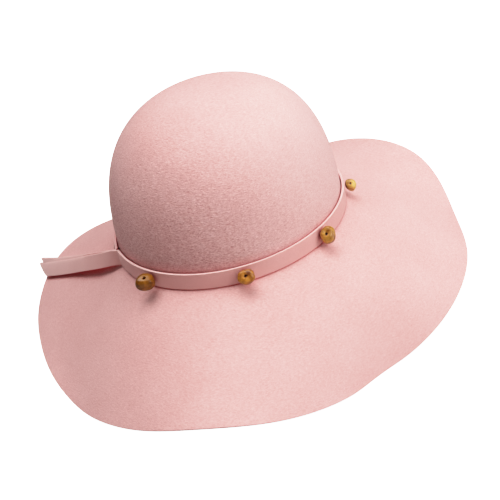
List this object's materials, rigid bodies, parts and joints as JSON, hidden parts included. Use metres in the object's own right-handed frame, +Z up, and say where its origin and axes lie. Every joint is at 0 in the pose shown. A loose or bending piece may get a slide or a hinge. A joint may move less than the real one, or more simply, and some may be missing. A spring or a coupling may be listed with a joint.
{
  "type": "wide brimmed felt church hat",
  "caption": "Floppy wide brimmed felt hat with a domed crown, a narrow felt ribbon with a tail, and drilled stone nuggets sewn to the ribbon.",
  "frame": {"origin": "on the surface that the hat stands on, under the middle of its outline", "axes": "+Z up, the front of the hat towards -Y, the ribbon's tail towards -X"},
  "size_m": [0.367, 0.386, 0.1854],
  "materials": {
    "felt": "pale pink wool felt, short fine nap",
    "ribbon": "pale pink felt ribbon, cut edges",
    "nugget": "polished golden brown pebble"
  },
  "bodies": {
    "root": {"felt_body": "felt", "hat_band": "ribbon", "bead_1": "nugget", "bead_2": "nugget", "bead_3": "nugget", "bead_4": "nugget", "bead_5": "nugget", "bead_6": "nugget", "bead_7": "nugget"}
  },
  "joints": []
}
